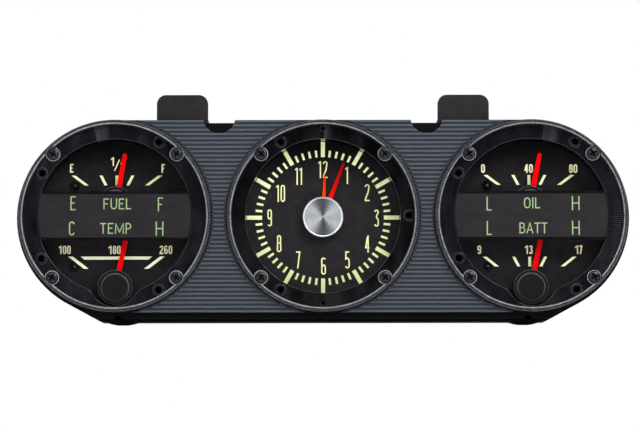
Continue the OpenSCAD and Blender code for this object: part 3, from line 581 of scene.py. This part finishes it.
def straight_glyphs(e, f):
    """Strokes of the characters that have no curves."""
    stem = [(0, 1 + f), (0, -f)]
    post = [(0.5, 1 + f), (0.5, -f)]
    return {
        "E": [[(1 + e, 1), (0, 1), (0, 0), (1 + e, 0)], [(e, 0.52), (0.9, 0.52)]],
        "F": [[(1 + e, 1), (0, 1), (0, -f)], [(e, 0.5), (0.88, 0.5)]],
        "L": [[(0, 1 + f), (0, 0), (1 + e, 0)]],
        "H": [stem, [(1, 1 + f), (1, -f)], [(e, 0.5), (1 - e, 0.5)]],
        "T": [[(-e, 1), (1 + e, 1)], [(0.5, 1 - f), (0.5, -f)]],
        "I": [post],
        "1": [post, [(0.5 - e, 1 - 0.5 * f), (0.5 - 3.2 * e, 1 - 2.6 * f)]],
        "M": [[(0, -f), (0, 1), (0.5, 0.12), (1, 1), (1, -f)]],
        "A": [[(0, -f), (0.5, 1), (1, -f)], [(0.2, 0.3), (0.8, 0.3)]],
        "4": [[(0.72, 1 + f), (0.72, -f)], [(0.72 - e, 0.96), (0, 0.27), (1 + e, 0.27)]],
        "7": [[(-e, 1), (1, 1), (0.32, -f)]],
    }


def round_letters(e, f, k):
    """Strokes of the letters that have curves, and of the zero."""
    stem = [(0, 1 + f), (0, -f)]
    loop = arc(0.5, 1 - k, 0.5, k, 0, 180) + arc(0.5, k, 0.5, k, 180, 360)
    p_bowl = [(e, 1)] + arc(0.5, 0.73, 0.5, 0.27, 90, -90) + [(e, 0.46)]
    b_upper = [(e, 1)] + arc(0.45, 0.77, 0.45, 0.23, 90, -90) + [(e, 0.54)]
    b_lower = [(0.45, 0.54)] + arc(0.5, 0.27, 0.5, 0.27, 80, -90) + [(e, 0)]
    c_top = arc(0.5, 1 - k, 0.5, k, 10, 180) + [(0, k)]
    return {
        "U": [[(0, 1 + f), (0, k)] + arc(0.5, k, 0.5, k, 180, 360)[1:] + [(1, 1 + f)]],
        "P": [stem, p_bowl],
        "B": [stem, b_upper, b_lower],
        "C": [c_top + arc(0.5, k, 0.5, k, 180, 350)[1:]],
        "O": [loop + [loop[0]]],
        "0": [loop + [loop[0]]],
    }


def round_digits(e, k):
    """Strokes of the digits that have curves; a 9 is a 6 turned round."""
    low_bowl = arc(0.5, k, 0.5, k, 0, -170)
    low_half = arc(0.5, k, 0.5, k, 180, 360)
    three_mid = [(0.42, 0.53), (0.8, 0.47), (1, 0.36)]
    eight = arc(0.5, 1 - k * 0.9, 0.43, k * 0.9, 0, 180) + [(0.1, 0.62)] + low_half + [(0.9, 0.62)]
    six_top = arc(0.5, 1 - k, 0.5, k, 20, 180)
    six = six_top + low_half + [(1, 0.42), (0.78, 0.56), (0.4, 0.56), (0.08, 0.42)]
    two_foot = [(0.72, 0.5), (0.1, 0.16), (0, 0), (1 + e, 0)]
    return {
        "2": [arc(0.5, 1 - k, 0.5, k, 180, -20) + two_foot],
        "3": [arc(0.5, 1 - k, 0.5, k, 170, -60) + three_mid[:1], three_mid + low_bowl],
        "5": [[(1, 1), (0.08, 1), (0.03, 0.56), (0.5, 0.62), (0.9, 0.54), (1, 0.4)] + low_bowl],
        "6": [six],
        "8": [eight + [eight[0]], [(0.1, 0.54), (0.9, 0.54)]],
        "9": [[(1 - u, 1 - v) for u, v in six]],
    }


def glyph(char, e, f, k):
    """Strokes of a character, each a list of (u, v) points from 0 to 1 over its centre lines.

    e is half the stroke's width in u, f the same in v, and k the height of round ends in v.
    """
    return {**straight_glyphs(e, f), **round_letters(e, f, k), **round_digits(e, k)}[char]


# Lengths under this count as none
NEAR = 1e-6
# Limit on a mitred corner's length, as the cosine of half its turn
MITRE_LIMIT = 0.45


def ribbon(mesh, points, width, place):
    """A flat raised stroke along points (mm), with mitred corners."""
    closed = points[0] == points[-1]
    pts = [Vector(p) for p in (points[:-1] if closed else points)]
    pts = [p for i, p in enumerate(pts) if i == 0 or (p - pts[i - 1]).length > NEAR]
    count = len(pts)
    sides = []
    for i, p in enumerate(pts):
        before = pts[i - 1] if (i > 0 or closed) else None
        after = pts[(i + 1) % count] if (i < count - 1 or closed) else None
        d0 = (p - before).normalized() if before is not None else None
        d1 = (after - p).normalized() if after is not None else None
        d0 = d0 or d1
        d1 = d1 or d0
        n0, n1 = Vector((-d0.y, d0.x)), Vector((-d1.y, d1.x))
        n = n0 + n1
        n = n.normalized() if n.length > NEAR else n0
        reach = width / 2 / max(n.dot(n0), MITRE_LIMIT)
        sides.append((p + n * reach, p - n * reach))
    rows = [[[mesh.verts.new(place(q, deep)) for q in pair] for deep in (1, 0)] for pair in sides]
    pairs = list(zip(rows, rows[1:] + rows[:1])) if closed else list(zip(rows, rows[1:]))
    for (front_a, back_a), (front_b, back_b) in pairs:
        mesh.faces.new((front_a[0], front_a[1], front_b[1], front_b[0]))
        mesh.faces.new((front_a[0], front_b[0], back_b[0], back_a[0]))
        mesh.faces.new((front_b[1], front_a[1], back_a[1], back_b[1]))
    if not closed:
        for (front, back), flip in ((rows[0], False), (rows[-1], True)):
            ring = (front[0], back[0], back[1], front[1])
            mesh.faces.new(ring if not flip else ring[::-1])


# Height of the dials' paint and of the legends' film, in mm
PAINT_LIFT = 0.06
FILM_LIFT = 0.05
# Height of a round end by its half width
ROUND_END = 1.15
# A letter whose centre lines lie closer than this is a bare stem, in mm
THIN = 0.3


def lettering(name, body, material, items, y, lift_mm):
    """One piece of raised strokes. An item is (text, x, z, height, width, stroke, gap) in mm."""
    mesh = bmesh.new()
    for text, x, z, height, widths, stroke, gap in items:
        widths = widths if isinstance(widths, (list, tuple)) else [widths] * len(text)
        pen = x - (sum(widths) + gap * (len(text) - 1)) / 2
        for char, width in zip(text, widths):
            inner_w, inner_h = max(width - stroke, 0.01), height - stroke
            e, f = stroke / 2 / inner_w, stroke / 2 / inner_h
            k = min(0.5, inner_w / 2 * ROUND_END / inner_h)
            if inner_w < THIN:
                e = stroke / 2
            for points in glyph(char, e, f, k):
                flat = [
                    (pen + stroke / 2 + u * inner_w, z - height / 2 + stroke / 2 + v * inner_h)
                    for u, v in points
                ]
                ribbon(
                    mesh,
                    flat,
                    stroke,
                    lambda q, up: Vector((q.x * MM, y - up * lift_mm * MM, q.y * MM)),
                )
            pen += width + gap
    bmesh.ops.recalc_face_normals(mesh, faces=mesh.faces)
    finish_piece(name, body, material, mesh)


def finish_piece(name, body, material, mesh):
    """An object made from the mesh, which rides on a body."""
    data = bpy.data.meshes.new(name)
    mesh.to_mesh(data)
    mesh.free()
    obj = bpy.data.objects.new(name, data)
    bpy.context.scene.collection.objects.link(obj)
    data.materials.append(material)
    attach(obj, body)


# Axes of the pods in mm
LX, CX, RX = LEFT.x / MM, CLOCK.x / MM, RIGHT.x / MM
Z0 = AXIS_Z / MM

cream = mottled("label_cream", (255, 240, 190), (255, 248, 206), (0.6, 0.75), 0.35, 0.008).mat
numeral = mottled("numeral_cream", (206, 210, 150), (220, 222, 164), (0.6, 0.75), 0.35, 0.008).mat
green = mottled("legend_green", (122, 144, 100), (140, 160, 116), (0.55, 0.7), 0.35, 0.008).mat

# Rows as lettering takes them, from a pod's axis
DIAL_LABELS = {
    "left": [
        ("E", -20.28, 22.32, 3.9, 1.5, 0.6, 0),
        ("F", 20.62, 22.19, 3.9, 1.5, 0.6, 0),
        ("1", -1.69, 25.29, 3.9, 1.3, 0.6, 0),
        ("2", 2.39, 23.23, 3.7, 1.7, 0.6, 0),
        ("100", -22.83, -14.25, 3.8, [1.1, 1.65, 1.65], 0.6, 0.25),
        ("180", -0.58, -14.29, 3.8, [1.1, 1.65, 1.65], 0.6, 0.25),
        ("260", 22.02, -14.29, 3.8, 1.7, 0.6, 0.3),
    ],
    "right": [
        ("0", -20.49, 21.96, 3.9, 1.7, 0.6, 0),
        ("40", -0.08, 21.91, 3.9, 1.7, 0.6, 0.3),
        ("80", 19.80, 21.86, 3.9, 1.7, 0.6, 0.3),
        ("9", -22.41, -14.44, 3.8, 1.7, 0.6, 0),
        ("13", -0.12, -14.45, 3.8, [1.1, 1.65], 0.6, 0.25),
        ("17", 22.17, -14.46, 3.8, [1.0, 1.5], 0.6, 0.2),
    ],
}
LEGENDS = {
    "left": [
        ("E", -18.38, 5.56, 6.2, 2.3, 0.52, 0),
        ("FUEL", 1.18, 5.25, 4.8, [2.4, 2.9, 2.4, 2.3], 0.5, 0.75),
        ("F", 20.22, 5.00, 6.2, 2.3, 0.52, 0),
        ("C", -18.80, -5.60, 6.2, 2.5, 0.52, 0),
        ("TEMP", 0.53, -5.60, 4.8, [2.7, 2.4, 3.9, 2.5], 0.5, 0.75),
        ("H", 19.88, -5.74, 6.2, 3.4, 0.52, 0),
    ],
    "right": [
        ("L", -18.77, 5.16, 6.2, 2.1, 0.52, 0),
        ("OIL", 0.25, 5.46, 4.8, [2.9, 0.5, 2.2], 0.5, 0.75),
        ("H", 19.54, 5.32, 6.2, 3.4, 0.52, 0),
        ("L", -18.78, -5.65, 6.2, 2.1, 0.52, 0),
        ("BATT", 0.79, -5.65, 4.8, [2.6, 3.2, 2.7, 2.7], 0.5, 0.4),
        ("H", 19.50, -5.57, 6.2, 3.4, 0.52, 0),
    ],
}
# Low and high end of the half mark's slash
SLASH = ((-1.1, 21.2), (1.1, 26.2))
SLASH_STROKE = 0.5
# Hours as (text, x, z, width, gap), with one height and stroke for all
NUMERAL_H = 7.6
NUMERAL_STROKE = 0.56
NUMERALS = [
    ("12", 0.22, 21.55, [1.0, 2.1], 0.6),
    ("1", 10.91, 18.88, 1.1, 0),
    ("2", 19.74, 11.18, 2.2, 0),
    ("3", 23.85, -0.22, 2.1, 0),
    ("4", 19.73, -11.83, 2.0, 0),
    ("5", 10.83, -18.89, 2.1, 0),
    ("6", 0.20, -21.65, 2.1, 0),
    ("7", -11.06, -18.86, 1.9, 0),
    ("8", -19.58, -11.59, 2.1, 0),
    ("9", -23.79, -0.07, 2.0, 0),
    ("10", -18.70, 10.88, [1.0, 2.0], 0.55),
    ("11", -10.57, 18.58, [1.0, 1.0], 0.9),
]


def moved(items, x):
    """Rows of lettering moved to the pod at x."""
    return [(t, x + i[0], Z0 + i[1], *i[2:]) for t, *i in items]


for side, x in (("left", LX), ("right", RX)):
    labels, words = moved(DIAL_LABELS[side], x), moved(LEGENDS[side], x)
    lettering(f"dial_labels_{side}", "housing", cream, labels, DIAL_Y, PAINT_LIFT)
    lettering(f"legend_words_{side}", "housing", green, words, LEGEND_Y, FILM_LIFT)
hours = [(t, x, z, NUMERAL_H, w, NUMERAL_STROKE, gap) for t, x, z, w, gap in NUMERALS]
lettering(
    "clock_numerals", "housing", numeral, moved(hours, CX), DIAL_Y, PAINT_LIFT
)


def half_mark_slash():
    """The slash of the half mark on the fuel gauge."""
    mesh = bmesh.new()
    low, high = SLASH
    ribbon(
        mesh,
        [(LX + low[0], Z0 + low[1]), (LX + high[0], Z0 + high[1])],
        SLASH_STROKE,
        lambda q, up: Vector((q.x * MM, DIAL_Y - up * PAINT_LIFT * MM, q.y * MM)),
    )
    bmesh.ops.recalc_face_normals(mesh, faces=mesh.faces)
    finish_piece("half_mark_slash", "housing", cream, mesh)


half_mark_slash()


# Studio


# Distances from the middle of the floor between which it fades to white for the camera
FADE_FROM = 0.2
FADE_FULL = 0.45


def floor_material():
    """Matt floor, clear from below, that fades to white for the camera away from the object."""
    mat = bpy.data.materials.new("pale_floor")
    mat.use_nodes = True
    tree = mat.node_tree
    tree.nodes.clear()
    place = add_node(tree, "ShaderNodeTexCoord").outputs["Object"]
    speck = add_node(tree, "ShaderNodeTexNoise", Vector=place, Scale=60.0).outputs["Fac"]
    tone = add_node(tree, "ShaderNodeMapRange", Value=speck, To_Min=0.86, To_Max=0.9).outputs[0]
    coat = add_node(tree, "ShaderNodeBsdfDiffuse", Color=tone).outputs[0]
    away = add_node(tree, "ShaderNodeVectorMath", "LENGTH", n0=place).outputs["Value"]
    fade = add_node(tree, "ShaderNodeMapRange", Value=away, From_Min=FADE_FROM, From_Max=FADE_FULL)
    seen = add_node(tree, "ShaderNodeLightPath").outputs["Is Camera Ray"]
    far = add_node(tree, "ShaderNodeMath", "MULTIPLY", n0=fade.outputs[0], n1=seen).outputs[0]
    white = add_node(tree, "ShaderNodeEmission").outputs[0]
    ground = add_node(tree, "ShaderNodeMixShader", Fac=far, n1=coat, n2=white).outputs[0]
    below = add_node(tree, "ShaderNodeNewGeometry").outputs["Backfacing"]
    clear = add_node(tree, "ShaderNodeBsdfTransparent").outputs[0]
    shown = add_node(tree, "ShaderNodeMixShader", Fac=below, n1=ground, n2=clear).outputs[0]
    add_node(tree, "ShaderNodeOutputMaterial", Surface=shown)
    return mat


# Half the floor's side, and its height, a hair under the object's feet
FLOOR_HALF = 2.5
FLOOR_Z = -0.00004
CORNERS = [(-1, -1), (1, -1), (1, 1), (-1, 1)]
floor_data = bpy.data.meshes.new("studio_floor")
floor_data.from_pydata(
    [(x * FLOOR_HALF, y * FLOOR_HALF, FLOOR_Z) for x, y in CORNERS], [], [(0, 1, 2, 3)]
)
floor = bpy.data.objects.new("studio_floor", floor_data)
bpy.context.scene.collection.objects.link(floor)
floor_data.materials.append(floor_material())


def softbox(name, place, aim, width, height, power):
    """A rectangular area light that points at aim."""
    data = bpy.data.lights.new(name, "AREA")
    data.shape = "RECTANGLE"
    data.size, data.size_y = width, height
    data.energy = power
    obj = bpy.data.objects.new(name, data)
    obj.location = place
    obj.rotation_euler = (Vector(aim) - Vector(place)).to_track_quat("-Z", "Y").to_euler()
    bpy.context.scene.collection.objects.link(obj)


AIM = (0, FRONT_Y, AXIS_Z)
softbox("key_right", (0.7, -1.1, 1.05), AIM, 0.8, 0.6, 24)
softbox("overhead", (0, -0.5, 1.25), AIM, 1.8, 0.4, 14)
softbox("strip_left", (-1.3, -0.5, 0.35), AIM, 0.35, 1.2, 6)
softbox("strip_right", (1.3, -0.5, 0.35), AIM, 0.35, 1.2, 6)
softbox("rear_fill", (0.8, 1.4, 1.0), (0, -FRONT_Y, AXIS_Z), 0.8, 0.6, 10)
softbox("front_fill", (-0.7, -1.9, 0.9), AIM, 1.0, 0.6, 8.5)

# Strength of the surroundings' light in front of the object and behind it
FRONT_LIGHT = 0.03
BACK_LIGHT = 0.9


def light_world():
    """White where it is seen, also through glass, and else dim in front and bright behind."""
    world = bpy.data.worlds.new("studio_world")
    bpy.context.scene.world = world
    world.use_nodes = True
    tree = world.node_tree
    tree.nodes.clear()
    coord = add_node(tree, "ShaderNodeTexCoord").outputs["Generated"]
    depth = add_node(tree, "ShaderNodeSeparateXYZ", n0=coord).outputs["Y"]
    shape = add_node(
        tree,
        "ShaderNodeMapRange",
        Value=depth,
        From_Min=-0.35,
        From_Max=0.25,
        To_Min=FRONT_LIGHT,
        To_Max=BACK_LIGHT,
    ).outputs[0]
    light = add_node(tree, "ShaderNodeBackground", Strength=shape).outputs[0]
    white = add_node(tree, "ShaderNodeBackground", Color=(1, 1, 1, 1), Strength=1.0).outputs[0]
    path = add_node(tree, "ShaderNodeLightPath").outputs
    camera_ray, glass_ray = path["Is Camera Ray"], path["Is Transmission Ray"]
    seen = add_node(tree, "ShaderNodeMath", "MAXIMUM", n0=camera_ray, n1=glass_ray).outputs[0]
    both = add_node(tree, "ShaderNodeMixShader", Fac=seen, n1=light, n2=white).outputs[0]
    add_node(tree, "ShaderNodeOutputWorld", Surface=both)


light_world()

# Camera, matched to the photograph's 640 x 429 frame
FRAME_PX = 640
PX_PER_MM = 2.2713
# The aim's place right of the clock's axis and over it, in pixels of the photograph
AIM_X_PX = -3.03
AIM_Z_PX = 0.5
DISTANCE = 1.0
TILT = math.radians(-5.25)
ROLL = math.radians(-0.08)
SENSOR = 36.0
camera_data = bpy.data.cameras.new("camera")
camera_data.sensor_width = SENSOR
camera_data.lens = DISTANCE * SENSOR / (FRAME_PX / PX_PER_MM * MM)
camera_data.clip_start = 0.05
camera_data.clip_end = 20
camera = bpy.data.objects.new("camera", camera_data)
target = Vector((AIM_X_PX / PX_PER_MM * MM, FRONT_Y, AXIS_Z + AIM_Z_PX / PX_PER_MM * MM))
camera.matrix_world = (
    Matrix.Translation(target + Vector((0, -math.cos(TILT), math.sin(TILT))) * DISTANCE)
    @ Matrix.Rotation(math.pi / 2 - TILT, 4, "X")
    @ Matrix.Rotation(ROLL, 4, "Z")
)
bpy.context.scene.collection.objects.link(camera)
bpy.context.scene.camera = camera
bpy.context.scene.view_settings.view_transform = "Standard"
